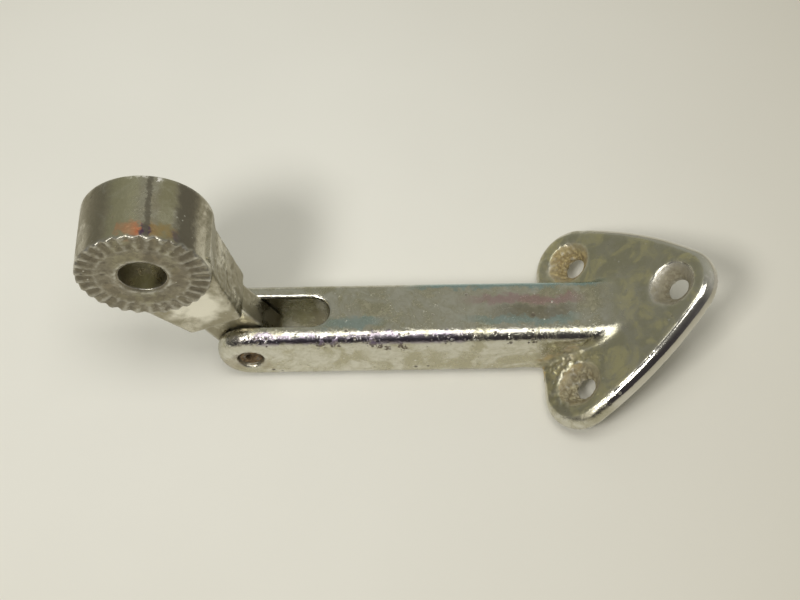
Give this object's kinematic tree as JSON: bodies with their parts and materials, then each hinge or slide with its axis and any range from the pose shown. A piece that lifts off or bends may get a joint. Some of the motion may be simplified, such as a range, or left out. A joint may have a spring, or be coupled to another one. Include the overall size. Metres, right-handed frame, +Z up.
{
  "type": "hinged bracket arm",
  "caption": "Chromed bracket arm: a screw-down foot and forked square arm, with a folding link that ends in a round boss with a bolt hole and a serrated face.",
  "frame": {"origin": "middle of the underside of the part's box, with the arm lying on its flat underside", "axes": "+X along the arm from the fork to the foot, +Y along the hinge away from the serrated face, +Z up"},
  "size_m": [0.1098, 0.0412, 0.045],
  "materials": {
    "bracket_chrome": "worn chrome plate on die-cast zinc",
    "link_chrome": "dull, pitted chrome plate on die-cast zinc",
    "rivet_steel": "rusted steel",
    "washer_steel": "plain spring steel"
  },
  "bodies": {
    "bracket": {"bracket_casting": "bracket_chrome", "hinge_rivet": "rivet_steel", "friction_washer_near": "washer_steel", "friction_washer_far": "washer_steel"},
    "link": {"link_casting": "link_chrome"}
  },
  "joints": [
    {"name": "link_hinge", "type": "hinge", "parent": "bracket", "child": "link", "pos_m": [-0.02792, 0, 0.0062], "axis": [0, 1, 0], "range_deg": [-60.3, 57.7]}
  ]
}
